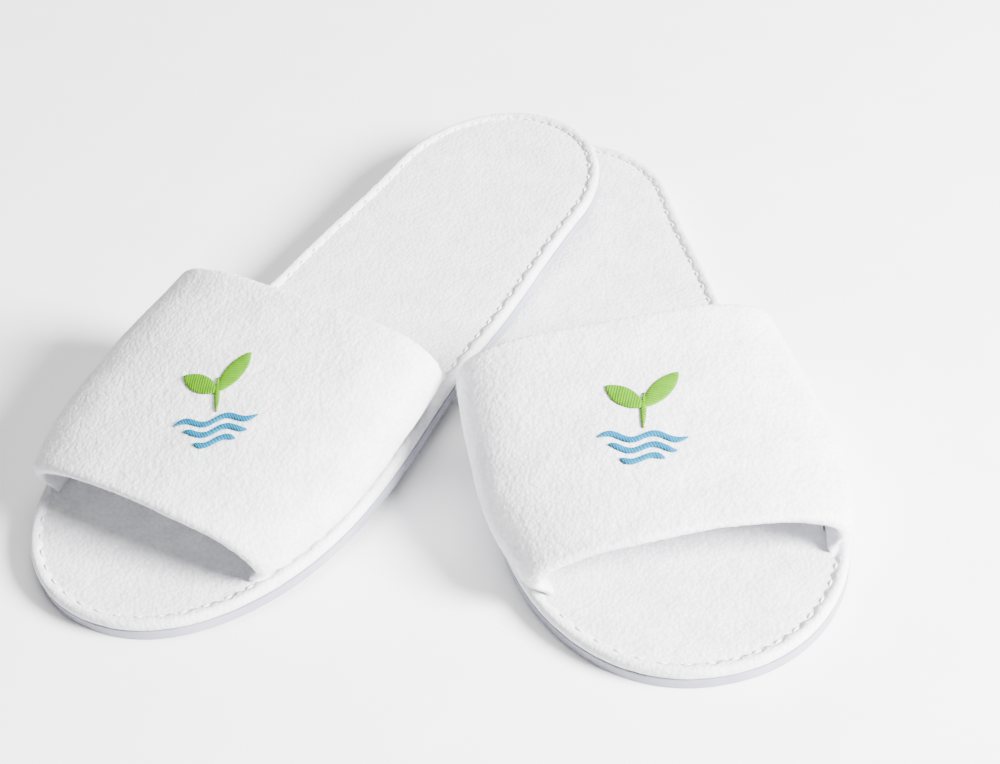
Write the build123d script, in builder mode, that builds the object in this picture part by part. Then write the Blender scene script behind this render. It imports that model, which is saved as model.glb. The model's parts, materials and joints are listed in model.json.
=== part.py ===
from build123d import *
from math import asin, cos, degrees, hypot, pi, radians, sin
import os

os.makedirs("parts", exist_ok=True)

# ---- one slipper, in its own frame: heel toward +Y, toe toward -Y, sole on Z = 0 ----
sole_length = 285.0
heel_half_width = 41.5
waist_half_width = 45.3
ball_half_width = 55.7
heel_run = 1.15 * heel_half_width
waist_from_heel = 0.42 * sole_length
ball_from_heel = 0.743 * sole_length
heel_roundness = 2.06
toe_roundness = 2.09
toe_lean = 7.85
lean_from_heel = 0.35 * sole_length

# ---- sole stack, from the floor up ----
outsole_thick = 3.4
board_thick = 0.8
foam_thick = 1.6
cover_thick = 1.0
binding_wall = 2.0
binding_lap = 4.6
binding_top_thick = 0.8
grip_dot_radius = 2.2
grip_dot_depth = 0.6
grip_dot_pitch = 13.0
grip_dot_margin = 9.0

# ---- stitches along the inner edge of the binding ----
stitch_pitch = 8.0
stitch_long = 3.4
stitch_wide = 0.7
stitch_high = 0.35
stitch_edge_gap = 1.1

# ---- foot band (vamp) ----
vamp_rear_from_heel = 0.5368 * sole_length
vamp_front_from_heel = 0.8667 * sole_length
vamp_lean = 11.0
vamp_sections = 5
vamp_rear_bulge = 6.4
vamp_front_bulge = 0.9
vamp_rear_sway = 2.2
vamp_front_sway = 0.4
vamp_rear_high = 43.0
vamp_front_high = 24.5
vamp_rear_belly = 0.50
vamp_front_belly = 0.30
vamp_rear_square = 3.1
vamp_front_square = 2.4
vamp_terry_thick = 2.0
vamp_foam_thick = 3.0
vamp_lining_thick = 1.0
vamp_seam_gap = 0.3
hem_turn = 2.0
belly_run = 0.4

# ---- embroidered emblem: a two-leaf sprig over three waves ----
emblem_thick = 0.6
emblem_reach = 10.0
right_emblem_from_heel = 0.7158 * sole_length
right_emblem_x = 1.0
right_emblem_turn = -13.0
left_emblem_from_heel = 0.7368 * sole_length
left_emblem_x = 0.6
left_emblem_turn = 31.0
stem_low = (0.0, -5.0)
stem_high = (0.0, 9.0)
stem_belly = 1.0
leaf_belly = 3.4
leaf_base = (0.0, 3.0)
leaf_tips = ((-12.5, 12.0), (11.0, 17.5))
wave_thick = 2.3
wave_swing = 1.2
wave_period = 14.5
wave_lines = ((-8.2, 14.5), (-12.4, 11.0), (-16.6, 7.2))

# ---- toe flex line, just in front of the band ----
flex_from_heel = vamp_front_from_heel + 6.0
flex_gap = 1.0

# ---- the left slipper lies with its heel across the right one ----
left_toe_x = -2.0 * ball_half_width - 0.2467 * sole_length
left_toe_y = -0.2653 * sole_length
left_turn = -40.4
left_rest_gap = 0.62
left_rest_reach = 0.5758 * sole_length

# ---- heights and places worked out from the sizes above ----
board_base = outsole_thick
foam_base = board_base + board_thick
cover_base = foam_base + foam_thick
cover_top = cover_base + cover_thick
binding_base = outsole_thick
binding_top = cover_top + binding_top_thick
stitch_top = binding_top + stitch_high
left_tilt = degrees(asin((stitch_top + left_rest_gap) / left_rest_reach))
vamp_base = cover_top
half_length = sole_length / 2
flex_y = half_length - flex_from_heel


def smooth_step(value):
    return value * value * (3 - 2 * value)


def half_width(from_heel):
    """Half width of the sole at a distance from the heel's end."""
    if from_heel < heel_run:
        run = 1 - from_heel / heel_run
        return heel_half_width * (1 - run**heel_roundness) ** (1 / heel_roundness)
    if from_heel < waist_from_heel:
        run = (from_heel - heel_run) / (waist_from_heel - heel_run)
        return heel_half_width + (waist_half_width - heel_half_width) * smooth_step(run)
    if from_heel < ball_from_heel:
        run = (from_heel - waist_from_heel) / (ball_from_heel - waist_from_heel)
        return waist_half_width + (ball_half_width - waist_half_width) * smooth_step(run)
    run = (from_heel - ball_from_heel) / (sole_length - ball_from_heel)
    return ball_half_width * (1 - run**toe_roundness) ** (1 / toe_roundness)


def centre_x(from_heel):
    """The middle of the sole leans to its inner side toward the toe."""
    run = (from_heel - lean_from_heel) / (sole_length - lean_from_heel)
    return toe_lean * sin(pi / 2 * min(max(run, 0.0), 1.0)) ** 2


def side_stations():
    """Distances from the heel for one side of the outline, closer together round the ends."""
    heel = [heel_run * (1 - cos(radians(a)) ** (2 / heel_roundness)) for a in (14, 32, 50, 70)]
    waist = [heel_run + (waist_from_heel - heel_run) * k / 3 for k in (0, 1, 2, 3)]
    ball = [waist_from_heel + (ball_from_heel - waist_from_heel) * k / 3 for k in (1, 2, 3)]
    toe_run = sole_length - ball_from_heel
    toe = [ball_from_heel + toe_run * sin(radians(a)) ** (2 / toe_roundness) for a in (18, 35, 50, 63, 76)]
    return heel + waist + ball + toe


def edge_point(from_heel, side, inset):
    """A point of the outline, moved inward along the outline's normal."""
    step = 0.001
    behind = max(from_heel - step, 0.0)
    ahead = min(from_heel + step, sole_length)
    widening = half_width(ahead) - half_width(behind)
    slope = (centre_x(ahead) - centre_x(behind) + side * widening) / (ahead - behind)
    length = hypot(1, slope)
    x = centre_x(from_heel) + side * half_width(from_heel) - side * inset / length
    y = half_length - from_heel - side * inset * slope / length
    return (x, y)


def sole_sheet(inset, base, thick):
    """A flat sheet in the sole's outline, moved inward by the inset."""
    stations = side_stations()
    inner_side = [edge_point(s, 1, inset) for s in stations]
    outer_side = [edge_point(s, -1, inset) for s in reversed(stations)]
    toe_tip = (centre_x(sole_length), inset - half_length)
    heel_tip = (0.0, half_length - inset)
    with BuildPart() as sheet:
        with BuildSketch(Plane.XY.offset(base)):
            with BuildLine():
                Spline(heel_tip, *inner_side, toe_tip, *outer_side, periodic=True)
            make_face()
        extrude(amount=thick)
    return sheet.part


def keep_heel_side():
    split(bisect_by=Plane((0, flex_y + flex_gap / 2, 0), z_dir=(0, 1, 0)), keep=Keep.TOP)


def keep_toe_side():
    split(bisect_by=Plane((0, flex_y - flex_gap / 2, 0), z_dir=(0, -1, 0)), keep=Keep.TOP)


left_place = (
    Pos(left_toe_x, left_toe_y, 0)
    * Rot(0, 0, left_turn)
    * Rot(left_tilt, 0, 0)
    * Pos(0, half_length, 0)
)


def save(name, part):
    part.label = name
    export_step(part, f"parts/{name}.step")


def save_pair(name, right_part):
    """Saves a right piece and its mirrored twin on the left slipper."""
    save(f"right_{name}", right_part)
    save(f"left_{name}", left_place * mirror(right_part, about=Plane.YZ))


# ---- outsole: thin EVA with rows of moulded grip dimples ----
def grip_dots():
    rows = int(sole_length / grip_dot_pitch)
    columns = int(ball_half_width / grip_dot_pitch) + 1
    spots = []
    for row in range(rows):
        from_heel = (row + 0.5) * sole_length / rows
        shift = grip_dot_pitch / 2 * (row % 2)
        for column in range(-columns, columns + 1):
            x = column * grip_dot_pitch + shift
            clear_of_edge = abs(x - centre_x(from_heel)) < half_width(from_heel) - grip_dot_margin
            clear_of_flex = abs(from_heel - flex_from_heel) > grip_dot_radius + flex_gap
            if clear_of_edge and clear_of_flex:
                spots.append((x, half_length - from_heel))
    return spots


with BuildPart() as outsole:
    add(sole_sheet(0, 0, outsole_thick))
    with BuildSketch(Plane.XY):
        with Locations(*grip_dots()):
            Circle(grip_dot_radius)
    extrude(amount=grip_dot_depth, mode=Mode.SUBTRACT)

with BuildPart() as outsole_heel:
    add(outsole.part)
    keep_heel_side()
save_pair("outsole", outsole_heel.part)

with BuildPart() as outsole_toe:
    add(outsole.part)
    keep_toe_side()
save_pair("outsole_toe", outsole_toe.part)

# ---- stiffener board, insole foam and terry cover, all inside the binding ----
for layer_name, layer_base, layer_thick in (
    ("stiffener_board", board_base, board_thick),
    ("insole_foam", foam_base, foam_thick),
    ("insole_cover", cover_base, cover_thick),
):
    with BuildPart() as layer_heel:
        add(sole_sheet(binding_wall, layer_base, layer_thick))
        keep_heel_side()
    save_pair(layer_name, layer_heel.part)
    with BuildPart() as layer_toe:
        add(sole_sheet(binding_wall, layer_base, layer_thick))
        keep_toe_side()
    save_pair(f"{layer_name}_toe", layer_toe.part)

# ---- edge binding: a terry strip round the stack, lapped over the cover's edge ----
with BuildPart() as binding:
    add(sole_sheet(0, binding_base, binding_top - binding_base))
    add(sole_sheet(binding_wall, binding_base, cover_top - binding_base), mode=Mode.SUBTRACT)
    add(sole_sheet(binding_lap, cover_top, binding_top_thick), mode=Mode.SUBTRACT)

with BuildPart() as binding_heel:
    add(binding.part)
    keep_heel_side()
save_pair("edge_binding", binding_heel.part)

with BuildPart() as binding_toe:
    add(binding.part)
    keep_toe_side()
save_pair("edge_binding_toe", binding_toe.part)


# ---- binding stitches: short threads lying on the binding, clear of the band ----
def stitch_spots():
    """Evenly spaced points and directions along the stitch line on the binding."""
    inset = binding_lap - stitch_edge_gap
    fine = 0.5
    count = int(sole_length / fine)
    stations = [sole_length * (1 - cos(pi * (k + 0.5) / count)) / 2 for k in range(count)]
    line = [edge_point(s, 1, inset) for s in stations]
    line += [edge_point(s, -1, inset) for s in reversed(stations)]
    spots = []
    travelled = 0.0
    for start, end in zip(line, line[1:] + line[:1]):
        length = hypot(end[0] - start[0], end[1] - start[1])
        travelled += length
        if travelled >= stitch_pitch:
            travelled -= stitch_pitch
            spots.append((start, (end[0] - start[0], end[1] - start[1])))
    return spots


def stitches_between(nearest, furthest):
    """Places of the stitches whose distance from the heel lies in a range."""
    return [
        Plane((x, y, binding_top), x_dir=(along_x, along_y, 0), z_dir=(0, 0, 1))
        for (x, y), (along_x, along_y) in stitch_spots()
        if nearest < half_length - y < furthest
    ]


with BuildPart() as stitches_heel:
    with BuildSketch(*stitches_between(0, vamp_rear_from_heel - stitch_long)):
        SlotOverall(stitch_long, stitch_wide)
    extrude(amount=stitch_high)
save_pair("binding_stitches", stitches_heel.part)

with BuildPart() as stitches_toe:
    with BuildSketch(*stitches_between(flex_from_heel + stitch_long, sole_length)):
        SlotOverall(stitch_long, stitch_wide)
    extrude(amount=stitch_high)
save_pair("binding_stitches_toe", stitches_toe.part)


# ---- foot band: terry outside, foam inside, thin lining against the foot ----
def mix(rear, front, along):
    return rear + (front - rear) * along


def arch_point(run, along, inset):
    """The band's curve on one side at a layer's depth: run 0 at the seam, 1 at the crown."""
    from_heel = mix(vamp_rear_from_heel, vamp_front_from_heel, along)
    foot = half_width(from_heel) - binding_lap - vamp_seam_gap - inset
    bulge = mix(vamp_rear_bulge, vamp_front_bulge, along)
    widest = half_width(from_heel) + bulge - inset
    outer_high = mix(vamp_rear_high, vamp_front_high, along)
    high = outer_high - inset
    belly = outer_high * mix(vamp_rear_belly, vamp_front_belly, along)
    square = mix(vamp_rear_square, vamp_front_square, along)
    if run < belly_run:
        climb = run / belly_run
        return (foot + (widest - foot) * (1 - cos(pi * climb)) / 2, belly * climb)
    turn = pi / 2 * (run - belly_run) / (1 - belly_run)
    return (widest * cos(turn) ** (2 / square), belly + (high - belly) * sin(turn) ** (2 / square))


def arch_plane(along):
    """The leaning plane of one cross-section of the band."""
    from_heel = mix(vamp_rear_from_heel, vamp_front_from_heel, along)
    lean = radians(vamp_lean)
    middle = (centre_x(from_heel), half_length - from_heel, vamp_base)
    return Plane(middle, x_dir=(1, 0, 0), z_dir=(0, -cos(lean), -sin(lean)))


def arch_curve(along, inset):
    """Points of one cross-section, from one foot over the crown to the other foot."""
    runs = (0, 0.12, 0.22, 0.31, belly_run, 0.52, 0.66, 0.82)
    side = [arch_point(run, along, inset) for run in runs]
    crown = (0, arch_point(1, along, inset)[1])
    other_side = [(-x, y) for x, y in reversed(side)]
    sway = mix(vamp_rear_sway, vamp_front_sway, along)
    belly = arch_point(belly_run, along, 0)[1]
    return [
        (x - sway * sin(pi / 2 * min(1, y / belly)), y) for x, y in (*side, crown, *other_side)
    ]


def arch_plug(inset):
    """The whole space under the band's curve at a layer's depth."""
    with BuildPart() as plug:
        for section in range(vamp_sections):
            along = section / (vamp_sections - 1)
            curve = arch_curve(along, inset)
            with BuildSketch(arch_plane(along)):
                with BuildLine():
                    Spline(*curve)
                    Line(curve[-1], curve[0])
                make_face()
        loft()
    return plug.part


def trim_to_hems(turned):
    """Cuts the current part back from both hems by the turned edge."""
    lean = radians(vamp_lean)
    for from_heel, facing in ((vamp_rear_from_heel, -1), (vamp_front_from_heel, 1)):
        hem_y = half_length - from_heel + facing * turned
        keep_side = (0, facing * cos(lean), facing * sin(lean))
        split(bisect_by=Plane((0, hem_y, vamp_base), z_dir=keep_side), keep=Keep.TOP)


foam_depth = vamp_terry_thick
lining_depth = foam_depth + vamp_foam_thick
inside_depth = lining_depth + vamp_lining_thick

terry_plug = arch_plug(0)
lining_plug = arch_plug(lining_depth)
inside_plug = arch_plug(inside_depth)

with BuildPart() as vamp_core:
    add(arch_plug(foam_depth))
    add(inside_plug, mode=Mode.SUBTRACT)
    trim_to_hems(hem_turn)

with BuildPart() as vamp_terry:
    add(terry_plug)
    add(inside_plug, mode=Mode.SUBTRACT)
    add(vamp_core.part, mode=Mode.SUBTRACT)
save_pair("vamp_terry", vamp_terry.part)

with BuildPart() as vamp_foam:
    add(vamp_core.part)
    add(lining_plug, mode=Mode.SUBTRACT)
save_pair("vamp_foam", vamp_foam.part)

with BuildPart() as vamp_lining:
    add(vamp_core.part)
    add(lining_plug, mode=Mode.INTERSECT)
save_pair("vamp_lining", vamp_lining.part)


# ---- emblem: raised embroidery lying on the band's crown ----
with BuildPart() as emblem_cover:
    add(arch_plug(-emblem_thick))
    add(terry_plug, mode=Mode.SUBTRACT)

crown_rear = arch_plane(0).from_local_coords(Vector(0, vamp_rear_high, 0))
crown_front = arch_plane(1).from_local_coords(Vector(0, vamp_front_high, 0))
crown_fall = crown_front - crown_rear
crown_slope = crown_fall.Z / crown_fall.Y


def emblem_plane(x, from_heel, turn):
    """A plane touching the band's crown at the emblem's middle, turned in place."""
    y = half_length - from_heel
    z = crown_rear.Z + (y - crown_rear.Y) * crown_slope
    level = Plane((x, y, z), x_dir=(1, 0, 0), z_dir=(0, -crown_slope, 1))
    return level.rotated((0, 0, turn))


def wave_edge(middle, half, lift):
    """Points along one edge of a wavy band."""
    steps = int(half / wave_period * 8) + 2
    stations = [-half + 2 * half * k / steps for k in range(steps + 1)]
    return [(x, middle + lift + wave_swing * sin(2 * pi * x / wave_period)) for x in stations]


def emblem_sprig(plane, cover):
    """The green stem and its two leaves."""
    with BuildPart() as sprig:
        with BuildSketch(plane):
            for base, tip, belly in (
                (stem_low, stem_high, stem_belly),
                (leaf_base, leaf_tips[0], leaf_belly),
                (leaf_base, leaf_tips[1], leaf_belly),
            ):
                with BuildLine():
                    SagittaArc(base, tip, belly)
                    SagittaArc(tip, base, belly)
                make_face()
        extrude(amount=emblem_reach, both=True)
        add(cover, mode=Mode.INTERSECT)
    return sprig.part


def emblem_waves(plane, cover):
    """The three blue waves."""
    with BuildPart() as waves:
        with BuildSketch(plane):
            for middle, half in wave_lines:
                upper = wave_edge(middle, half, wave_thick / 2)
                lower = wave_edge(middle, half, -wave_thick / 2)
                with BuildLine():
                    Spline(*upper)
                    Line(upper[-1], lower[-1])
                    Spline(*reversed(lower))
                    Line(lower[0], upper[0])
                make_face()
        extrude(amount=emblem_reach, both=True)
        add(cover, mode=Mode.INTERSECT)
    return waves.part


right_plane = emblem_plane(right_emblem_x, right_emblem_from_heel, right_emblem_turn)
save("right_emblem_sprig", emblem_sprig(right_plane, emblem_cover.part))
save("right_emblem_waves", emblem_waves(right_plane, emblem_cover.part))

left_plane = emblem_plane(left_emblem_x, left_emblem_from_heel, left_emblem_turn)
left_cover = mirror(emblem_cover.part, about=Plane.YZ)
save("left_emblem_sprig", left_place * emblem_sprig(left_plane, left_cover))
save("left_emblem_waves", left_place * emblem_waves(left_plane, left_cover))
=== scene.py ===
import json
import math

import bpy
import numpy as np
from mathutils import Matrix, Vector
from mathutils.bvhtree import BVHTree


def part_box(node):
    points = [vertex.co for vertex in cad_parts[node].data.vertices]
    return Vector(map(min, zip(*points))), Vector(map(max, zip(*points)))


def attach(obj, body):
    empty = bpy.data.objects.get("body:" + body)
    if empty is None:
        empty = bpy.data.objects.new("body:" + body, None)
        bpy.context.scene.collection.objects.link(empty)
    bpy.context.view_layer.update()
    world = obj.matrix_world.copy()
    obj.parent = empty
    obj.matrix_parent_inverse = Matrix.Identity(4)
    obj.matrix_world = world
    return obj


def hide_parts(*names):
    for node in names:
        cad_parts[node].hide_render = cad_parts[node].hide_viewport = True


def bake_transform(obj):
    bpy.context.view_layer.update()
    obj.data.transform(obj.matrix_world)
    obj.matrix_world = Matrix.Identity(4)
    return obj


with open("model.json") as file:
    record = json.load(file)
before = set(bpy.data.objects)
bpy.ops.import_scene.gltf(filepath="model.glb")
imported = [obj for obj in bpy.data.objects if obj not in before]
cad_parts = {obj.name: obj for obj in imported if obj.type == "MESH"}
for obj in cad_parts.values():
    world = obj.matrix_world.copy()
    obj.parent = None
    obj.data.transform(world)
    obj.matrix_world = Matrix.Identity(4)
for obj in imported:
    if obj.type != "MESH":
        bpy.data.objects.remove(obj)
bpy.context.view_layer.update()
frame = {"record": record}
record = frame["record"]
mm = 0.001

# the sole's plan shape, in metres, measured from the heel's end
soleShape = {
    "length": 0.285,
    "heelHalf": 0.0415,
    "waistHalf": 0.0453,
    "ballHalf": 0.0557,
    "heelRun": 0.0477,
    "waistAt": 0.1197,
    "ballAt": 0.2118,
    "heelRound": 2.06,
    "toeRound": 2.09,
    "toeLean": 0.00785,
    "leanFrom": 0.09975,
}
halfLength = soleShape["length"] / 2


def zTop(node):
    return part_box(node)[1][2]


# the sole's stack, read from the right slipper, which lies flat
outsoleTop = zTop("right_outsole")
boardTop = zTop("right_stiffener_board")
foamTop = zTop("right_insole_foam")
coverTop = zTop("right_insole_cover")
bindingTop = zTop("right_edge_binding")
flexY = (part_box("right_outsole")[0][1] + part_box("right_outsole_toe")[1][1]) / 2
print("frame read: sole stack", round(outsoleTop / mm, 2), round(bindingTop / mm, 2), "mm")


def leftPlacement():
    # the left slipper is the right one's mirror twin, stood at its own sole face
    mount = next(m for m in record["mounts"] if m["name"] == "left_sole_face")
    hinge = next(j for j in record["behaviour"]["joints"] if j["name"] == "left_toe_flex")
    across = -Vector(hinge["axis"]).normalized()
    upward = -Vector(mount["axis"]).normalized()
    along = upward.cross(across).normalized()
    place = Matrix.Identity(4)
    for row in range(3):
        place[row][0] = across[row]
        place[row][1] = along[row]
        place[row][2] = upward[row]
        place[row][3] = mount["pos_m"][row]
    return place


leftPlace = leftPlacement()
mirrorX = Matrix.Diagonal((-1, 1, 1, 1))


# ---------- small tools ----------
def clearSelection():
    for obj in list(bpy.context.selected_objects):
        obj.select_set(False)
    bpy.context.view_layer.objects.active = None


def activate(obj):
    clearSelection()
    obj.select_set(True)
    bpy.context.view_layer.objects.active = obj


def takeActive(name):
    obj = bpy.context.active_object
    obj.name = name
    obj.data.name = name
    return obj


def readPoints(obj):
    points = np.empty(len(obj.data.vertices) * 3)
    obj.data.vertices.foreach_get("co", points)
    return points.reshape(-1, 3)


def writePoints(obj, points):
    obj.data.vertices.foreach_set("co", np.ascontiguousarray(points, dtype=float).ravel())
    obj.data.update()


def applyModifier(obj, kind, **settings):
    activate(obj)
    modifier = obj.modifiers.new(kind.lower(), kind)
    for key, value in settings.items():
        setattr(modifier, key, value)
    bpy.ops.object.modifier_apply(modifier=modifier.name)


def recalcNormals(obj):
    activate(obj)
    bpy.ops.object.mode_set(mode="EDIT")
    bpy.ops.mesh.select_all(action="SELECT")
    bpy.ops.mesh.remove_doubles(threshold=0.00001)
    bpy.ops.mesh.normals_make_consistent(inside=False)
    bpy.ops.object.mode_set(mode="OBJECT")


def joinAs(parts, name):
    clearSelection()
    for part in parts:
        part.select_set(True)
    bpy.context.view_layer.objects.active = parts[0]
    bpy.ops.object.join()
    return takeActive(name)


def roundEdges(obj, width):
    applyModifier(
        obj, "BEVEL", width=width, segments=2, limit_method="ANGLE", angle_limit=math.radians(60)
    )


def smoothShade(obj, degrees=50):
    activate(obj)
    bpy.ops.object.shade_smooth_by_angle(angle=math.radians(degrees))


def mirrorTwin(obj, name):
    # a copy with its own mesh, turned into the left slipper's place
    twin = obj.copy()
    twin.data = obj.data.copy()
    twin.name = name
    twin.data.name = name
    bpy.context.scene.collection.objects.link(twin)
    twin.data.transform(leftPlace @ mirrorX)
    twin.data.flip_normals()
    return twin


def cloudTexture(name, scale, depth):
    texture = bpy.data.textures.new(name, "CLOUDS")
    texture.noise_scale = scale
    texture.noise_depth = depth
    return texture


def loopTexture(name, scale):
    texture = bpy.data.textures.new(name, "VORONOI")
    texture.noise_scale = scale
    texture.distance_metric = "DISTANCE"
    return texture


# terry: round loop heads about 2 mm apart on a gently uneven ground
terryRelief = {
    "loopSize": 0.0020,
    "loopHigh": 0.00026,
    "tuftSize": 0.0045,
    "tuftHigh": 0.00018,
}
loopHeads = loopTexture("terryLoopHeads", terryRelief["loopSize"])
tufts = cloudTexture("terryTufts", terryRelief["tuftSize"], 3)


def raisePile(obj, share=1.0, group=""):
    applyModifier(
        obj, "DISPLACE", texture=tufts, texture_coords="LOCAL", mid_level=0.5,
        strength=terryRelief["tuftHigh"] * share, vertex_group=group,
    )
    applyModifier(
        obj, "DISPLACE", texture=loopHeads, texture_coords="LOCAL", mid_level=0.35,
        strength=-terryRelief["loopHigh"] * share, vertex_group=group,
    )


# ---------- the sole's plan ----------
def halfWidth(fromHeel):
    s = soleShape
    v = np.clip(np.asarray(fromHeel, float), 0, s["length"])
    heel = 1 - np.clip(v / s["heelRun"], 0, 1)
    toe = np.clip((v - s["ballAt"]) / (s["length"] - s["ballAt"]), 0, 1)
    heelPart = s["heelHalf"] * (1 - heel ** s["heelRound"]) ** (1 / s["heelRound"])
    toePart = s["ballHalf"] * (1 - toe ** s["toeRound"]) ** (1 / s["toeRound"])
    a = np.clip((v - s["heelRun"]) / (s["waistAt"] - s["heelRun"]), 0, 1)
    b = np.clip((v - s["waistAt"]) / (s["ballAt"] - s["waistAt"]), 0, 1)
    waistPart = s["heelHalf"] + (s["waistHalf"] - s["heelHalf"]) * a * a * (3 - 2 * a)
    ballPart = s["waistHalf"] + (s["ballHalf"] - s["waistHalf"]) * b * b * (3 - 2 * b)
    body = np.where(v < s["waistAt"], waistPart, ballPart)
    return np.where(v < s["heelRun"], heelPart, np.where(v < s["ballAt"], body, toePart))


def centreX(fromHeel):
    leanRun = soleShape["length"] - soleShape["leanFrom"]
    run = (np.asarray(fromHeel, float) - soleShape["leanFrom"]) / leanRun
    return soleShape["toeLean"] * np.sin(np.pi / 2 * np.clip(run, 0, 1)) ** 2


def outlineLoop(count):
    # evenly spaced points and inward normals round the sole, from the heel by the inner side
    k = np.linspace(0, np.pi, 3000)
    v = soleShape["length"] * (1 - np.cos(k)) / 2
    inner = np.stack([centreX(v) + halfWidth(v), halfLength - v], 1)
    outer = np.stack([centreX(v) - halfWidth(v), halfLength - v], 1)[::-1]
    loop = np.concatenate([inner, outer[1:]])
    step = np.hypot(*np.diff(loop, axis=0).T)
    travelled = np.concatenate([[0], np.cumsum(step)])
    even = np.linspace(0, travelled[-1], count, endpoint=False)
    points = np.stack([np.interp(even, travelled, loop[:, c]) for c in (0, 1)], 1)
    ahead = np.roll(points, -2, 0) - np.roll(points, 2, 0)
    ahead /= np.hypot(ahead[:, 0], ahead[:, 1])[:, None]
    inward = np.stack([ahead[:, 1], -ahead[:, 0]], 1)
    return points, inward, even, travelled[-1]


def sideCurves(inset):
    # x of the inset outline's two sides, as functions of y
    points, inward, even, total = outlineLoop(2400)
    moved = points + inward * inset
    heelEnd = int(np.argmax(moved[:, 1]))
    moved = np.roll(moved, -heelEnd, 0)
    toeEnd = int(np.argmin(moved[:, 1]))
    inner = moved[: toeEnd + 1][::-1]
    outer = moved[toeEnd:]
    return inner, outer


def soleGrid(name, inset, height, rows, columns):
    # a grid fitted to the inset outline, rows closer together at both ends
    inner, outer = sideCurves(inset)
    clearSelection()
    bpy.ops.mesh.primitive_grid_add(x_subdivisions=columns, y_subdivisions=rows, size=2)
    obj = takeActive(name)
    grid = readPoints(obj)
    low = inner[0, 1]
    high = inner[-1, 1]
    ease = 0.6 * grid[:, 1] + 0.4 * np.sin(grid[:, 1] * np.pi / 2)
    tipGap = 0.00012
    y = (low + high) / 2 + ease * ((high - low) / 2 - tipGap)
    xInner = np.interp(y, inner[:, 1], inner[:, 0])
    xOuter = np.interp(y, outer[:, 1], outer[:, 0])
    x = (xInner + xOuter) / 2 + grid[:, 0] * (xInner - xOuter) / 2
    writePoints(obj, np.stack([x, y, np.full(len(x), height)], 1))
    return obj


def thicken(obj, down):
    # the whole grid is pulled down into a closed sheet
    activate(obj)
    bpy.ops.object.mode_set(mode="EDIT")
    bpy.ops.mesh.select_all(action="SELECT")
    bpy.ops.mesh.extrude_region_move(TRANSFORM_OT_translate={"value": (0, 0, -down)})
    bpy.ops.object.mode_set(mode="OBJECT")
    recalcNormals(obj)


def edgeNearness(points, inset, reach):
    # 1 at the inset outline, falling to 0 a reach further in
    loop, inward, even, total = outlineLoop(900)
    loop = loop + inward * inset
    nearest = np.full(len(points), 1e9)
    for start in range(0, len(loop), 60):
        block = loop[start:start + 60]
        offset = points[:, None, :2] - block[None, :, :]
        away = np.hypot(offset[:, :, 0], offset[:, :, 1])
        nearest = np.minimum(nearest, away.min(1))
    return np.clip(1 - nearest / reach, 0, 1)


# ---------- materials ----------
def linear(hexColour):
    channels = [int(hexColour[i:i + 2], 16) / 255 for i in (1, 3, 5)]
    return [c / 12.92 if c <= 0.04045 else ((c + 0.055) / 1.055) ** 2.4 for c in channels] + [1.0]


def addNode(tree, kind, settings=None, links=None):
    node = tree.nodes.new(kind)
    for key, value in (settings or {}).items():
        if isinstance(key, int) or key in node.inputs:
            node.inputs[key].default_value = value
        else:
            setattr(node, key, value)
    for key, source in (links or {}).items():
        tree.links.new(source, node.inputs[key])
    return node


def newMaterial(name, settings):
    material = bpy.data.materials.new(name)
    material.use_nodes = True
    tree = material.node_tree
    shader = tree.nodes["Principled BSDF"]
    for key, value in settings.items():
        shader.inputs[key].default_value = value
    coords = addNode(tree, "ShaderNodeTexCoord").outputs["Object"]
    return material, tree, shader, coords


def addBump(tree, height, strength, distance, normal=None, invert=False):
    links = {"Height": height}
    if normal is not None:
        links["Normal"] = normal
    settings = {"Strength": strength, "Distance": distance, "invert": invert}
    return addNode(tree, "ShaderNodeBump", settings, links).outputs["Normal"]


def twoTone(tree, factor, dark, light, low=0.3, high=0.7):
    ramp = addNode(tree, "ShaderNodeValToRGB", None, {"Fac": factor})
    ramp.color_ramp.elements[0].position = low
    ramp.color_ramp.elements[0].color = linear(dark)
    ramp.color_ramp.elements[1].position = high
    ramp.color_ramp.elements[1].color = linear(light)
    return ramp.outputs["Color"]


def cottonTerry():
    # bleached cotton terry, looped on a knit ground: matt, with a soft bright edge and painted shade
    # between the loop heads
    material, tree, shader, coords = newMaterial("bleachedCottonTerry", {
        "Roughness": 0.95, "IOR": 1.5, "Specular IOR Level": 0.25,
        "Sheen Weight": 0.18, "Sheen Roughness": 0.5, "Sheen Tint": linear("#FFFFFF"),
    })
    loops = addNode(tree, "ShaderNodeTexVoronoi", {"Scale": 1 / 0.0014}, {"Vector": coords})
    yarn = addNode(tree, "ShaderNodeTexNoise", {"Scale": 1 / 0.0007, "Detail": 4.0}, {"Vector": coords})
    lie = addNode(tree, "ShaderNodeTexNoise", {"Scale": 1 / 0.009, "Detail": 3.0}, {"Vector": coords})
    tint = twoTone(tree, lie.outputs["Fac"], "#DEDEE2", "#EBEBED", 0.35, 0.65)
    # painted shade: the colour is darkened between the loop heads, where the crevices fall in shade
    gap = twoTone(tree, loops.outputs["Distance"], "#FFFFFF", "#E6E6EA", 0.25, 0.85)
    mixed = addNode(tree, "ShaderNodeMix", {"data_type": "RGBA", "blend_type": "MULTIPLY"})
    mixed.inputs["Factor"].default_value = 0.6
    tree.links.new(tint, mixed.inputs["A"])
    tree.links.new(gap, mixed.inputs["B"])
    tree.links.new(mixed.outputs["Result"], shader.inputs["Base Color"])
    fine = addBump(tree, yarn.outputs["Fac"], 0.35, 0.0004)
    heads = addBump(tree, loops.outputs["Distance"], 0.35, 0.0006, normal=fine, invert=True)
    tree.links.new(heads, shader.inputs["Normal"])
    return material


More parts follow.
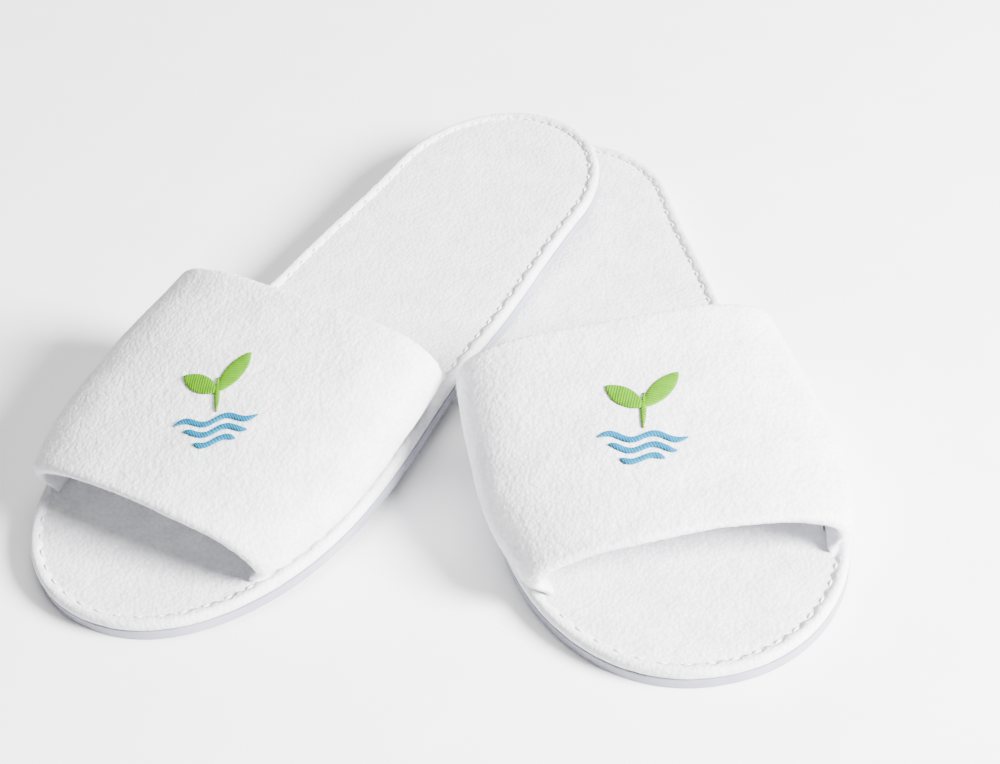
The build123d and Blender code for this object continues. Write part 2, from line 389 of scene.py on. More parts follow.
def evaFoam():
    # cross-linked EVA sheet, die cut: closed-cell, smooth, faintly waxy
    material, tree, shader, coords = newMaterial("dieCutEvaFoam", {
        "Roughness": 0.52, "IOR": 1.49, "Specular IOR Level": 0.4,
    })
    cells = addNode(tree, "ShaderNodeTexNoise", {"Scale": 1 / 0.0006, "Detail": 3.0}, {"Vector": coords})
    scuffs = addNode(tree, "ShaderNodeTexNoise", {"Scale": 1 / 0.02, "Detail": 5.0}, {"Vector": coords})
    tint = twoTone(tree, scuffs.outputs["Fac"], "#8F8F9C", "#A0A0AC")
    tree.links.new(tint, shader.inputs["Base Color"])
    tree.links.new(addBump(tree, cells.outputs["Fac"], 0.2, 0.0002), shader.inputs["Normal"])
    return material


def wovenLining():
    # plain-woven polyester lining: fine even grid of threads
    material, tree, shader, coords = newMaterial("plainWovenLining", {
        "Roughness": 0.8, "IOR": 1.5, "Specular IOR Level": 0.3,
    })
    threads = []
    for way in ("X", "Y"):
        settings = {"Scale": 1 / 0.005, "bands_direction": way}
        threads.append(addNode(tree, "ShaderNodeTexWave", settings, {"Vector": coords}))
    weave = addNode(tree, "ShaderNodeMath", {"operation": "MULTIPLY"})
    tree.links.new(threads[0].outputs["Fac"], weave.inputs[0])
    tree.links.new(threads[1].outputs["Fac"], weave.inputs[1])
    tint = twoTone(tree, weave.outputs[0], "#E4E4E8", "#F2F2F4", 0.0, 1.0)
    tree.links.new(tint, shader.inputs["Base Color"])
    tree.links.new(addBump(tree, weave.outputs[0], 0.3, 0.0002), shader.inputs["Normal"])
    return material


def openCellFoam():
    # slab polyurethane foam, sawn: pitted, slightly cream
    material, tree, shader, coords = newMaterial("sawnPolyurethaneFoam", {
        "Roughness": 0.95, "IOR": 1.45, "Specular IOR Level": 0.2,
    })
    cells = addNode(tree, "ShaderNodeTexVoronoi", {"Scale": 1 / 0.0008}, {"Vector": coords})
    tint = twoTone(tree, cells.outputs["Distance"], "#F6F4EC", "#DDD9CC", 0.2, 0.8)
    tree.links.new(tint, shader.inputs["Base Color"])
    tree.links.new(addBump(tree, cells.outputs["Distance"], 0.5, 0.0004), shader.inputs["Normal"])
    return material


def fibreBoard():
    # pressed shank board: long pale fibres
    material, tree, shader, coords = newMaterial("pressedShankBoard", {
        "Roughness": 0.85, "IOR": 1.5, "Specular IOR Level": 0.3,
    })
    fibres = addNode(
        tree, "ShaderNodeTexNoise", {"Scale": 1 / 0.002, "Detail": 6.0, "Distortion": 1.5},
        {"Vector": coords},
    )
    tint = twoTone(tree, fibres.outputs["Fac"], "#CFC6B4", "#E2DBCB")
    tree.links.new(tint, shader.inputs["Base Color"])
    tree.links.new(addBump(tree, fibres.outputs["Fac"], 0.3, 0.0002), shader.inputs["Normal"])
    return material


def sewingThread():
    # spun polyester thread: two twisted plies
    material, tree, shader, coords = newMaterial("spunPolyesterThread", {
        "Roughness": 0.6, "IOR": 1.5, "Specular IOR Level": 0.4, "Sheen Weight": 0.2,
    })
    plies = addNode(tree, "ShaderNodeTexNoise", {"Scale": 1 / 0.0004, "Detail": 2.0}, {"Vector": coords})
    tint = twoTone(tree, plies.outputs["Fac"], "#E2E2E6", "#F6F6F8")
    tree.links.new(tint, shader.inputs["Base Color"])
    tree.links.new(addBump(tree, plies.outputs["Fac"], 0.5, 0.0001), shader.inputs["Normal"])
    return material


def satinEmbroidery(name, dark, light):
    # rayon satin stitch: glossy threads side by side, with painted shade darker between them
    material, tree, shader, coords = newMaterial(name, {
        "Roughness": 0.6, "IOR": 1.5, "Specular IOR Level": 0.15,
    })
    across = addNode(tree, "ShaderNodeUVMap", {"uv_map": "stitch"})
    threads = addNode(
        tree, "ShaderNodeTexWave", {"Scale": 1.0, "Distortion": 0.6, "Detail": 1.0},
        {"Vector": across.outputs["UV"]},
    )
    uneven = addNode(
        tree, "ShaderNodeTexNoise", {"Scale": 1 / 0.0025, "Detail": 3.0}, {"Vector": coords},
    )
    blend = addNode(tree, "ShaderNodeMath", {"operation": "MULTIPLY_ADD", 1: 0.4})
    tree.links.new(threads.outputs["Fac"], blend.inputs[0])
    tree.links.new(uneven.outputs["Fac"], blend.inputs[2])
    # painted shade: the colour darkens into the grooves between the threads, on top of a random tone
    tint = twoTone(tree, blend.outputs[0], dark, light, 0.35, 0.85)
    tree.links.new(tint, shader.inputs["Base Color"])
    tree.links.new(addBump(tree, threads.outputs["Fac"], 0.5, 0.0002), shader.inputs["Normal"])
    return material


def paintedFloor():
    # matt painted studio floor
    material, tree, shader, coords = newMaterial("mattStudioFloor", {
        "Roughness": 0.9, "IOR": 1.5, "Specular IOR Level": 0.2,
    })
    grain = addNode(tree, "ShaderNodeTexNoise", {"Scale": 40.0, "Detail": 4.0}, {"Vector": coords})
    tint = twoTone(tree, grain.outputs["Fac"], "#FBFBFC", "#FFFFFF")
    tree.links.new(tint, shader.inputs["Base Color"])
    return material


materials = {
    "terry": cottonTerry(),
    "eva_foam": evaFoam(),
    "lining": wovenLining(),
    "padding_foam": openCellFoam(),
    "fibre_board": fibreBoard(),
    "thread": sewingThread(),
    "green_embroidery": satinEmbroidery("greenRayonSatinStitch", "#3A6E00", "#528A00"),
    "blue_embroidery": satinEmbroidery("blueRayonSatinStitch", "#004E70", "#007094"),
}
print("materials made:", len(materials))


def finishPiece(obj, slot, degrees=50):
    obj.data.materials.clear()
    obj.data.materials.append(materials[slot])
    smoothShade(obj, degrees)


# ---------- where each slipper bends ----------
bendSpan = {"before": 0.005, "after": 0.011}


def blendToe(obj, side):
    start = Vector((0, flexY + bendSpan["before"], 0))
    end = Vector((0, flexY - bendSpan["after"], 0))
    if side == "left":
        start = leftPlace @ start
        end = leftPlace @ end
    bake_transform(obj)


def pairOfSolePieces(obj, node, slot, degrees=50):
    # the right piece and its mirror twin, each standing in, unbent, for its slipper's sole piece and toe
    # piece
    obj.name = f"right_{node}_full"
    finishPiece(obj, slot, degrees)
    twin = mirrorTwin(obj, f"left_{node}_full")
    for side, piece in (("right", obj), ("left", twin)):
        blendToe(piece, side)
        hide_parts(f"{side}_{node}", f"{side}_{node}_toe")
    return obj, twin


# ---------- outsole ----------
outsole = {
    "rows": 230,
    "columns": 90,
    "dotPitch": 0.013,
    "dotRadius": 0.0024,
    "dotDeep": 0.0006,
    "edgeMargin": 0.009,
    "roundEdge": 0.0006,
}


def makeOutsole():
    obj = soleGrid("outsole", 0.0, 0.0, outsole["rows"], outsole["columns"])
    points = readPoints(obj)
    fromHeel = halfLength - points[:, 1]
    # moulded grip dimples in staggered rows
    rowCount = int(soleShape["length"] / outsole["dotPitch"])
    rowPitch = soleShape["length"] / rowCount
    row = np.clip(np.floor(fromHeel / rowPitch), 0, rowCount - 1)
    rowMiddle = (row + 0.5) * rowPitch
    shift = outsole["dotPitch"] / 2 * (row % 2)
    column = np.round((points[:, 0] - shift) / outsole["dotPitch"])
    dotX = column * outsole["dotPitch"] + shift
    away = np.hypot(points[:, 0] - dotX, fromHeel - rowMiddle)
    inside = np.abs(dotX - centreX(rowMiddle)) < halfWidth(rowMiddle) - outsole["edgeMargin"]
    dip = np.clip((outsole["dotRadius"] - away) / (0.3 * outsole["dotRadius"]), 0, 1)
    points[:, 2] += np.where(inside, outsole["dotDeep"] * dip, 0)
    writePoints(obj, points)
    thicken(obj, -outsoleTop)
    roundEdges(obj, outsole["roundEdge"])
    return obj


pairOfSolePieces(makeOutsole(), "outsole", "eva_foam", 40)
print("outsoles made")


# ---------- stiffener board and insole foam, hidden in the stack ----------
innerStack = {"inset": 0.0024, "gap": 0.0002, "rows": 90, "columns": 36, "roundEdge": 0.0002}


def makeInnerSheet(name, low, high):
    obj = soleGrid(name, innerStack["inset"], high, innerStack["rows"], innerStack["columns"])
    thicken(obj, high - low)
    roundEdges(obj, innerStack["roundEdge"])
    return obj


board = makeInnerSheet("board", outsoleTop, boardTop)
pairOfSolePieces(board, "stiffener_board", "fibre_board")
foam = makeInnerSheet("foam", boardTop, foamTop - innerStack["gap"])
pairOfSolePieces(foam, "insole_foam", "padding_foam")

# ---------- insole cover ----------
insole = {
    "rows": 250,
    "columns": 96,
    "inset": 0.0024,
    "raised": 0.0003,
    "edgeDip": 0.0005,
    "dipReach": 0.009,
    "unevenSize": 0.035,
    "unevenHigh": 0.0005,
    "pileShare": 0.8,
}


def makeInsoleCover():
    obj = soleGrid("insoleCover", insole["inset"], coverTop, insole["rows"], insole["columns"])
    points = readPoints(obj)
    near = edgeNearness(points, insole["inset"], insole["dipReach"])
    points[:, 2] += insole["raised"] - insole["edgeDip"] * near ** 2
    writePoints(obj, points)
    applyModifier(
        obj, "DISPLACE", texture=cloudTexture("insoleUneven", insole["unevenSize"], 1),
        texture_coords="LOCAL", mid_level=0.5, strength=insole["unevenHigh"],
    )
    raisePile(obj, insole["pileShare"])
    thicken(obj, coverTop - foamTop)
    return obj


pairOfSolePieces(makeInsoleCover(), "insole_cover", "terry", 60)
print("insoles made")

# ---------- edge binding: a soft roll drawn in at every stitch ----------
binding = {
    "lap": 0.0046,
    "proud": 0.0003,
    "square": 2.5,
    "around": 900,
    "section": 26,
    "stitchPitch": 0.008,
    "stitchInset": 0.0035,
    "pinchIn": 0.0017,
    "pinchDown": 0.0015,
    "pinchWide": 0.0013,
    "innerEase": 0.0007,
    "pileShare": 0.7,
}


def stitchCount(total):
    return int(round(total / binding["stitchPitch"]))


def makeBinding():
    clearSelection()
    bpy.ops.mesh.primitive_torus_add(
        major_segments=binding["around"], minor_segments=binding["section"],
        major_radius=1.0, minor_radius=0.25,
    )
    obj = takeActive("binding")
    ring = readPoints(obj)
    count = binding["around"]
    points, inward, even, total = outlineLoop(count)
    turn = np.arctan2(ring[:, 1], ring[:, 0]) % (2 * np.pi)
    station = np.round(turn / (2 * np.pi) * count).astype(int) % count
    roll = np.arctan2(ring[:, 2], np.hypot(ring[:, 0], ring[:, 1]) - 1.0)
    pitches = even[station] / total * stitchCount(total)
    pinch = np.abs(np.cos(np.pi * pitches)) ** 3
    wideHalf = (binding["lap"] + binding["proud"]) / 2
    highHalf = (bindingTop + binding["proud"] - outsoleTop) / 2
    power = 2 / binding["square"]
    outward = np.sign(np.cos(roll)) * np.abs(np.cos(roll)) ** power
    upward = np.sign(np.sin(roll)) * np.abs(np.sin(roll)) ** power
    inner = np.clip(-outward, 0, 1)
    top = np.clip(upward, 0, 1)
    depth = wideHalf - binding["proud"] - outward * wideHalf
    depth -= binding["pinchIn"] * pinch * inner * top ** 0.5
    height = outsoleTop + highHalf + upward * highHalf
    stitchLine = np.exp(-((depth - binding["stitchInset"]) / binding["pinchWide"]) ** 2)
    height -= binding["pinchDown"] * pinch * stitchLine * top
    # the roll eases down to the insole on its inner side
    height -= binding["innerEase"] * inner ** 3 * top
    flat = points[station] + inward[station] * depth[:, None]
    writePoints(obj, np.column_stack([flat, height]))
    recalcNormals(obj)
    raisePile(obj, binding["pileShare"])
    return obj


pairOfSolePieces(makeBinding(), "edge_binding", "terry", 60)
print("bindings made")

# ---------- foot band, whose sizes the stitches need too ----------
vamp = {
    "rearAt": 0.153,
    "frontAt": 0.247,
    "lean": 11.0,
    "lap": 0.0049,
    "rearBulge": 0.0064,
    "frontBulge": 0.0009,
    "rearSway": 0.0022,
    "frontSway": 0.0004,
    "rearHigh": 0.0430,
    "frontHigh": 0.0245,
    "rearBelly": 0.50,
    "frontBelly": 0.30,
    "rearSquare": 3.1,
    "frontSquare": 2.4,
    "bellyRun": 0.4,
    "sewnIn": 0.0011,
    "footSqueeze": 0.72,
    "squeezeRun": 0.26,
    "thick": 0.0060,
    "hemRound": 0.0026,
    "hemTaper": 0.16,
    "lengthSteps": 30,
    "hemSteps": 5,
    "aroundSteps": 64,
    "sewnHigh": 0.0022,
    "terryFill": 0.96,
    "foamFill": 0.45,
    "pressure": 2.5,
    "frames": 18,
    "cap": 0.0028,
    "unevenSize": 0.03,
    "unevenHigh": 0.0012,
}

# ---------- binding stitches ----------
stitch = {
    "long": 0.0030,
    "thick": 0.0007,
    "sunk": 0.0005,
    "endsDown": 0.0004,
    "rearClear": 0.004,
    "frontClear": 0.002,
    "outlineSteps": 2400,
}


def makeStitches():
    steps = stitch["outlineSteps"]
    points, inward, even, total = outlineLoop(steps)
    count = stitchCount(total)
    clearSelection()
    bpy.ops.mesh.primitive_uv_sphere_add(segments=8, ring_count=6, radius=0.5)
    bead = takeActive("stitchBead")
    shape = readPoints(bead)
    threads = []
    # none under the band's feet
    rearHem = halfLength - vamp["rearAt"] + stitch["rearClear"]
    frontHem = halfLength - vamp["frontAt"] - stitch["frontClear"]
    for k in range(count):
        at = int(round(k / count * steps)) % steps
        x, y = points[at] + inward[at] * binding["stitchInset"]
        if frontHem < y < rearHem:
            continue
        along = np.array([inward[at][1], -inward[at][0]])
        size = np.array([stitch["long"], stitch["thick"], stitch["thick"]])
        lying = shape * size
        flat = lying[:, :1] * along + lying[:, 1:2] * inward[at] + np.array([x, y])
        droop = stitch["endsDown"] * (2 * shape[:, 0]) ** 2
        height = bindingTop - stitch["sunk"] + lying[:, 2] - droop
        copy = bead.copy()
        copy.data = bead.data.copy()
        bpy.context.scene.collection.objects.link(copy)
        writePoints(copy, np.column_stack([flat, height]))
        threads.append(copy)
    bpy.data.objects.remove(bead)
    obj = joinAs(threads, "stitches")
    recalcNormals(obj)
    return obj


pairOfSolePieces(makeStitches(), "binding_stitches", "thread", 80)
print("stitches made")


def bandPoint(along, inset, run, side, skew=0.0):
    # a point of the band at a depth under its outer face: run 0 at the seam, 1 at the crown;
    # skew carries the front hem's outer foot toward the toe
    v = vamp
    fromHeel = v["rearAt"] + (v["frontAt"] - v["rearAt"]) * along
    fromHeel = fromHeel + skew * along * (1 - side * (1 - run)) / 2
    foot = halfWidth(fromHeel) - v["lap"] - inset
    widest = halfWidth(fromHeel) + v["rearBulge"] + (v["frontBulge"] - v["rearBulge"]) * along - inset
    outerHigh = v["rearHigh"] + (v["frontHigh"] - v["rearHigh"]) * along
    high = outerHigh - inset
    belly = outerHigh * (v["rearBelly"] + (v["frontBelly"] - v["rearBelly"]) * along)
    square = v["rearSquare"] + (v["frontSquare"] - v["rearSquare"]) * along
    climb = np.clip(run / v["bellyRun"], 0, 1)
    turn = np.pi / 2 * np.clip((run - v["bellyRun"]) / (1 - v["bellyRun"]), 0, 1)
    lowX = foot + (widest - foot) * (1 - np.cos(np.pi * climb)) / 2
    highX = widest * np.maximum(np.cos(turn), 0) ** (2 / square)
    highY = belly + (high - belly) * np.sin(turn) ** (2 / square)
    py = np.where(run < v["bellyRun"], belly * climb - v["sewnIn"] * (1 - climb) ** 4, highY)
    sway = v["rearSway"] + (v["frontSway"] - v["rearSway"]) * along
    px = np.where(run < v["bellyRun"], lowX, highX) * side
    px = px - sway * np.sin(np.pi / 2 * np.minimum(1, py / belly))
    lean = math.radians(v["lean"])
    return np.stack([centreX(fromHeel) + px, halfLength - fromHeel - py * math.sin(lean),
                     coverTop + py * math.cos(lean)], 1)


def bandLoop():
    # the band's section as (along, depth): over the top, round the front hem, back under
    reach = vamp["frontAt"] - vamp["rearAt"]
    radius = vamp["hemRound"]
    edge = radius / reach
    outer = [(a, 0.0) for a in np.linspace(edge, 1 - edge, vamp["lengthSteps"])]
    angles = np.linspace(0, np.pi, vamp["hemSteps"] + 2)[1:-1]
    front = [(1 - edge + edge * math.sin(t), radius - radius * math.cos(t)) for t in angles]
    inner = []
    for a in np.linspace(1 - edge, edge, vamp["lengthSteps"]):
        ease = math.sin(math.pi / 2 * min(1, (min(a, 1 - a) - edge) / vamp["hemTaper"]))
        inner.append((a, 2 * radius + (vamp["thick"] - 2 * radius) * ease))
    rear = [(edge - edge * math.sin(t), radius + radius * math.cos(t)) for t in angles]
    return np.array(outer + front + inner + rear)


def aroundRuns():
    # evenly spaced runs from one foot over the crown to the other
    fine = np.linspace(0, 1, 800)
    line = bandPoint(np.full(800, 0.4), np.zeros(800), fine, 1.0)
    travelled = np.concatenate([[0], np.cumsum(np.linalg.norm(np.diff(line, axis=0), axis=1))])
    half = vamp["aroundSteps"] // 2
    runs = np.interp(np.linspace(0, travelled[-1], half + 1), travelled, fine)
    sides = np.concatenate([np.ones(half + 1), -np.ones(half)])
    return np.concatenate([runs, runs[:-1][::-1]]), sides


def makeBandPad(name, shrink, skew):
    loop = bandLoop()
    loop[:, 0] = 0.5 + (loop[:, 0] - 0.5) * (0.6 + 0.4 * shrink)
    loopCount = len(loop)
    runs, sides = aroundRuns()
    clearSelection()
    bpy.ops.mesh.primitive_grid_add(x_subdivisions=loopCount, y_subdivisions=len(runs) - 1, size=2)
    obj = takeActive(name)
    grid = readPoints(obj)
    along = np.round((grid[:, 0] + 1) / 2 * loopCount).astype(int) % loopCount
    around = np.round((grid[:, 1] + 1) / 2 * (len(runs) - 1)).astype(int)
    depth = loop[along, 1]
    middle = vamp["thick"] / 2
    depth = middle + (depth - middle) * shrink
    # the padding is squeezed thin where the feet are sewn in
    nearFoot = 1 - np.clip(runs[around] / vamp["squeezeRun"], 0, 1)
    depth = depth * (1 - vamp["footSqueeze"] * nearFoot ** 2)
    writePoints(obj, bandPoint(loop[along, 0], depth, runs[around], sides[around], skew))
    activate(obj)
    bpy.ops.object.mode_set(mode="EDIT")
    bpy.ops.mesh.select_all(action="SELECT")
    bpy.ops.mesh.remove_doubles(threshold=0.00001)
    bpy.ops.mesh.fill_holes(sides=0)
    bpy.ops.mesh.select_all(action="SELECT")
    bpy.ops.mesh.normals_make_consistent(inside=False)
    bpy.ops.object.mode_set(mode="OBJECT")
    return obj


def plumpBand(obj):
    # the sewn feet stay put while the padding fills the band
    start = readPoints(obj)
    feet = obj.vertex_groups.new(name="sewnFeet")
    low = coverTop + vamp["sewnHigh"]
    feet.add([i for i, p in enumerate(start) if p[2] < low], 1.0, "REPLACE")
    activate(obj)
    cloth = obj.modifiers.new("cloth", "CLOTH")
    settings = cloth.settings
    settings.quality = 8
    settings.mass = 0.15
    settings.tension_stiffness = 25
    settings.compression_stiffness = 25
    settings.shear_stiffness = 12
    settings.bending_stiffness = 3
    settings.vertex_group_mass = "sewnFeet"
    settings.use_pressure = True
    settings.uniform_pressure_force = vamp["pressure"]
    settings.effector_weights.gravity = 0
    cloth.point_cache.frame_start = 1
    cloth.point_cache.frame_end = vamp["frames"]
    scene = bpy.context.scene
    for step in range(1, vamp["frames"] + 1):
        scene.frame_set(step)
    bpy.ops.object.modifier_apply(modifier=cloth.name)
    scene.frame_set(1)
    moved = readPoints(obj) - start
    length = np.linalg.norm(moved, axis=1)
    keep = np.minimum(1, vamp["cap"] / np.maximum(length, 1e-9))
    writePoints(obj, start + moved * keep[:, None])
    print("band plumped: moved up to", round(float(length.max()) / mm, 2), "mm")


def makeBand(skew):
    obj = makeBandPad("band", vamp["terryFill"], skew)
    plumpBand(obj)
    applyModifier(obj, "SUBSURF", levels=2, render_levels=2)
    applyModifier(
        obj, "DISPLACE", texture=cloudTexture("bandUneven", vamp["unevenSize"], 1),
        texture_coords="LOCAL", mid_level=0.5, strength=vamp["unevenHigh"],
    )
    return obj


def outerFaceTree(obj):
    mesh = obj.data
    corners = [v.co.copy() for v in mesh.vertices]
    return BVHTree.FromPolygons(corners, [tuple(p.vertices) for p in mesh.polygons])


# each slipper's band is sewn in a little differently
bandSkew = {"right": -0.0040, "left": 0.0040}


def placeOnSlipper(obj, side, node, slot):
    # modelled as a right piece, so the left one is mirrored and carried over
    if side == "left":
        obj.data.transform(leftPlace @ mirrorX)
        obj.data.flip_normals()
    obj.name = f"{side}_{node}_soft"
    finishPiece(obj, slot, 60)
    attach(obj, f"{side}_slipper")
    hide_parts(f"{side}_{node}")


smoothBands = {}
bandTrees = {}
for side in ("right", "left"):
    smoothBands[side] = makeBand(bandSkew[side])
    bandTrees[side] = outerFaceTree(smoothBands[side])
    terryBand = smoothBands[side].copy()
    terryBand.data = smoothBands[side].data.copy()
    bpy.context.scene.collection.objects.link(terryBand)
    raisePile(terryBand, 1.0)
    placeOnSlipper(terryBand, side, "vamp_terry", "terry")
    foamBand = makeBandPad("bandFoam", vamp["foamFill"], bandSkew[side])
    applyModifier(foamBand, "SUBSURF", levels=1, render_levels=1)
    placeOnSlipper(foamBand, side, "vamp_foam", "padding_foam")
print("bands made")


# ---------- band lining: a woven sheet under the band, between the turned hems ----------
lining = {
    "hemGap": 0.12,
    "footGap": 0.07,
    "clear": 0.0009,
    "thick": 0.0004,
    "rows": 60,
    "columns": 110,
}


def makeLining(side):
    clearSelection()
    bpy.ops.mesh.primitive_grid_add(
        x_subdivisions=lining["rows"], y_subdivisions=lining["columns"], size=2
    )
    obj = takeActive("bandLining")
    grid = readPoints(obj)
    along = lining["hemGap"] + (1 - 2 * lining["hemGap"]) * (grid[:, 0] + 1) / 2
    run = lining["footGap"] + (1 - lining["footGap"]) * (1 - np.abs(grid[:, 1]))
    half = np.where(grid[:, 1] >= 0, 1.0, -1.0)
    guess = bandPoint(along, np.full(len(along), vamp["thick"] + 0.004), run, half, bandSkew[side])
    # each point is laid against the band's underside
    points = []
    for place in guess:
        hit, normal = bandTrees[side].find_nearest(Vector(place))[:2]
        points.append(hit + normal * lining["clear"])
    writePoints(obj, np.array([tuple(p) for p in points]))
    applyModifier(obj, "SMOOTH", factor=0.5, iterations=6)
    applyModifier(obj, "SOLIDIFY", thickness=lining["thick"], offset=0.0)
    recalcNormals(obj)
    return obj


for side in ("right", "left"):
    placeOnSlipper(makeLining(side), side, "vamp_lining", "lining")
print("linings made")

# ---------- embroidered emblem: a two-leaf sprig over three waves ----------
emblem = {
    # across, from the heel, turn in degrees
    "rightAt": (0.0010, 0.204, -13.0),
    "leftAt": (0.0006, 0.210, 31.0),
    "proud": 0.0004,
    "high": 0.00045,
    "backing": 0.0006,
    "threadPitch": 0.0005,
    "threadTurn": 0.15708,
    "ridge": 0.00006,
    "leaves": (((0.0, 0.003), (-0.0125, 0.012)), ((0.0, 0.003), (0.011, 0.0175))),
    "leafBelly": 0.0034,
    "stem": ((0.0, -0.005), (0.0, 0.009)),
    "stemBelly": 0.0010,
    "waves": ((-0.0082, 0.0145), (-0.0124, 0.0110), (-0.0166, 0.0072)),
    "waveThick": 0.0023,
    "waveSwing": 0.0012,
    "wavePeriod": 0.0145,
}


def stitchedPatch(name, along, across, shape):
    # a grid laid out by the shape function, domed and ridged like satin stitch
    clearSelection()
    bpy.ops.mesh.primitive_grid_add(x_subdivisions=along, y_subdivisions=across, size=2)
    obj = takeActive(name)
    grid = readPoints(obj)
    run = (grid[:, 0] + 1) / 2
    flat, length = shape(run, grid[:, 1])
    ends = np.minimum(1, 12 * np.minimum(run, 1 - run)) ** 0.5
    dome = np.sqrt(np.clip(1 - grid[:, 1] ** 2, 0, 1)) * ends
    threads = np.sin(2 * np.pi * length / emblem["threadPitch"])
    height = emblem["high"] * dome + emblem["ridge"] * threads * dome
    writePoints(obj, np.column_stack([flat, height]))
    uvLayer = obj.data.uv_layers.active or obj.data.uv_layers.new()
    uvLayer.name = "stitch"
    corners = np.empty(len(obj.data.loops), dtype=np.int32)
    obj.data.loops.foreach_get("vertex_index", corners)
    threadRun = length[corners] / emblem["threadPitch"] * emblem["threadTurn"]
    uv = np.stack([threadRun, grid[corners, 1]], 1)
    uvLayer.data.foreach_set("uv", uv.ravel())
    return obj


def leafShape(base, tip, belly):
    base = np.array(base)
    tip = np.array(tip)
    spine = tip - base
    length = np.hypot(*spine)
    side = np.array([-spine[1], spine[0]]) / length

    def shape(run, cross):
        half = belly * (4 * run * (1 - run)) ** 0.8
        flat = base + run[:, None] * spine + (cross * half)[:, None] * side
        return flat, run * length + cross * half * 0.5

    return shape


def waveShape(middle, half):
    def shape(run, cross):
        x = -half + 2 * half * run
        swing = emblem["waveSwing"] * np.sin(2 * np.pi * x / emblem["wavePeriod"])
        ends = np.minimum(1, 8 * np.minimum(run, 1 - run)) ** 0.5
        y = middle + swing + cross * emblem["waveThick"] / 2 * ends
        return np.stack([x, y], 1), x + cross * 0.0006

    return shape


def makeSprig():
    parts = [stitchedPatch("stem", 60, 8, leafShape(*emblem["stem"], emblem["stemBelly"]))]
    for base, tip in emblem["leaves"]:
        parts.append(stitchedPatch("leaf", 110, 22, leafShape(base, tip, emblem["leafBelly"])))
    return joinAs(parts, "sprig")


def makeWaves():
    parts = []
    for middle, half in emblem["waves"]:
        steps = int(half * 2 / 0.0002)
        parts.append(stitchedPatch("wave", steps, 10, waveShape(middle, half)))
    return joinAs(parts, "waves")


def layOnBand(obj, at, side):
    # the flat motif is dropped onto the band along its crown's normal
    x, fromHeel, turn = at
    rear = bandPoint(np.array([0.0]), np.array([0.0]), np.array([1.0]), 1.0)[0]
    front = bandPoint(np.array([1.0]), np.array([0.0]), np.array([1.0]), 1.0)[0]
    slope = (front[2] - rear[2]) / (front[1] - rear[1])
    normal = Vector((0, -slope, 1)).normalized()
    acrossDir = Vector((1, 0, 0))
    upDir = normal.cross(acrossDir)
    y = halfLength - fromHeel
    origin = Vector((x, y, rear[2] + (y - rear[1]) * slope))
    angle = math.radians(turn)
    points = readPoints(obj)
    laid = []
    for px, py, height in points:
        u = px * math.cos(angle) - py * math.sin(angle)
        w = px * math.sin(angle) + py * math.cos(angle)
        above = origin + acrossDir * u + upDir * w + normal * 0.03
        if side == "left":
            above.x = -above.x
        hit, faceNormal = bandTrees[side].ray_cast(above, -normal)[:2]
        spot = hit + faceNormal * (height + emblem["proud"])
        if side == "left":
            spot.x = -spot.x
        laid.append(tuple(spot))
    writePoints(obj, np.array(laid))
    applyModifier(obj, "SOLIDIFY", thickness=emblem["backing"], offset=-1.0)
    recalcNormals(obj)
    return obj


def placeEmblem(make, node, slot):
    for side, at in (("right", emblem["rightAt"]), ("left", emblem["leftAt"])):
        obj = layOnBand(make(), at, side)
        if side == "left":
            obj.data.transform(leftPlace)
        obj.name = f"{side}_{node}_stitched"
        finishPiece(obj, slot, 60)
        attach(obj, f"{side}_slipper")
        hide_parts(f"{side}_{node}")


placeEmblem(makeSprig, "emblem_sprig", "green_embroidery")
placeEmblem(makeWaves, "emblem_waves", "blue_embroidery")
for band in smoothBands.values():
    bpy.data.objects.remove(band)
print("emblems made")

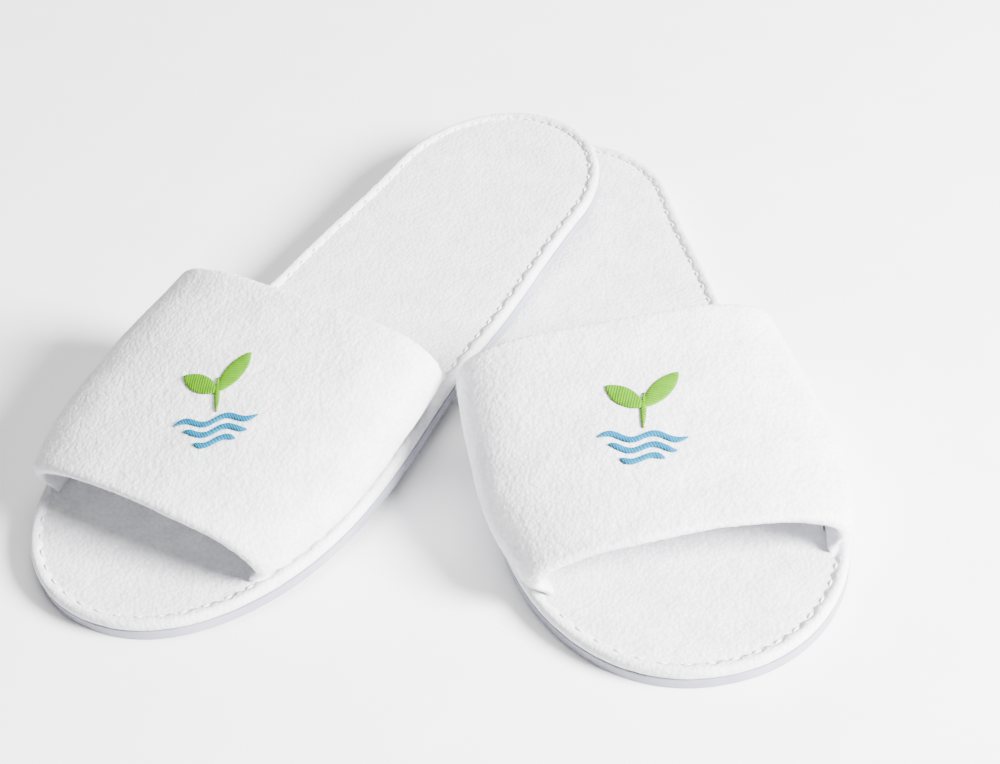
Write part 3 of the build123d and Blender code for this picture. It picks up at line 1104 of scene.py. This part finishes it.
# ---------- studio ----------
studio = {
    "floorSize": 6.0,
    "floorLow": 0.0002,
    "key": {"at": (1.05, -0.75, 0.75), "size": 0.6, "watts": 215.0},
    "top": {"at": (0.25, 0.5, 1.6), "size": 1.6, "watts": 28.0},
    "sky": "#FFFFFF",
    "skyStrength": 0.36,
}
cameraView = {
    "target": (-0.0386, 0.0133, 0.0),
    "distance": 0.7509,
    "azimuth": 3.4,
    "elevation": 41.1,
    "roll": -7.85,
    "lens": 75.44,
}


def makeFloor():
    clearSelection()
    bpy.ops.mesh.primitive_plane_add(size=studio["floorSize"], location=(0, 0, -studio["floorLow"]))
    floor = takeActive("studioFloor")
    floor.data.materials.append(paintedFloor())


def makeLight(name, spec):
    data = bpy.data.lights.new(name, "AREA")
    data.shape = "DISK"
    data.size = spec["size"]
    data.energy = spec["watts"]
    lamp = bpy.data.objects.new(name, data)
    bpy.context.scene.collection.objects.link(lamp)
    lamp.location = spec["at"]
    aim = Vector(cameraView["target"]) - Vector(spec["at"])
    lamp.rotation_euler = aim.to_track_quat("-Z", "Y").to_euler()


def makeCamera():
    view = cameraView
    azimuth = math.radians(view["azimuth"])
    elevation = math.radians(view["elevation"])
    roll = math.radians(view["roll"])
    forward = Vector((
        math.sin(azimuth) * math.cos(elevation),
        math.cos(azimuth) * math.cos(elevation),
        -math.sin(elevation),
    ))
    level = Vector((math.cos(azimuth), -math.sin(azimuth), 0))
    upright = level.cross(forward)
    right = level * math.cos(roll) + upright * math.sin(roll)
    up = upright * math.cos(roll) - level * math.sin(roll)
    data = bpy.data.cameras.new("studioCamera")
    data.lens = view["lens"]
    data.sensor_width = 36.0
    data.clip_start = 0.02
    camera = bpy.data.objects.new("studioCamera", data)
    bpy.context.scene.collection.objects.link(camera)
    eye = Vector(view["target"]) - forward * view["distance"]
    pose = Matrix.Identity(4)
    for row in range(3):
        pose[row][0] = right[row]
        pose[row][1] = up[row]
        pose[row][2] = -forward[row]
        pose[row][3] = eye[row]
    camera.matrix_world = pose
    bpy.context.scene.camera = camera


makeFloor()
makeLight("keyLight", studio["key"])
makeLight("topLight", studio["top"])
world = bpy.data.worlds.new("studioSky")
world.use_nodes = True
world.node_tree.nodes["Background"].inputs["Color"].default_value = linear(studio["sky"])
world.node_tree.nodes["Background"].inputs["Strength"].default_value = studio["skyStrength"]
bpy.context.scene.world = world
makeCamera()
print("studio set")
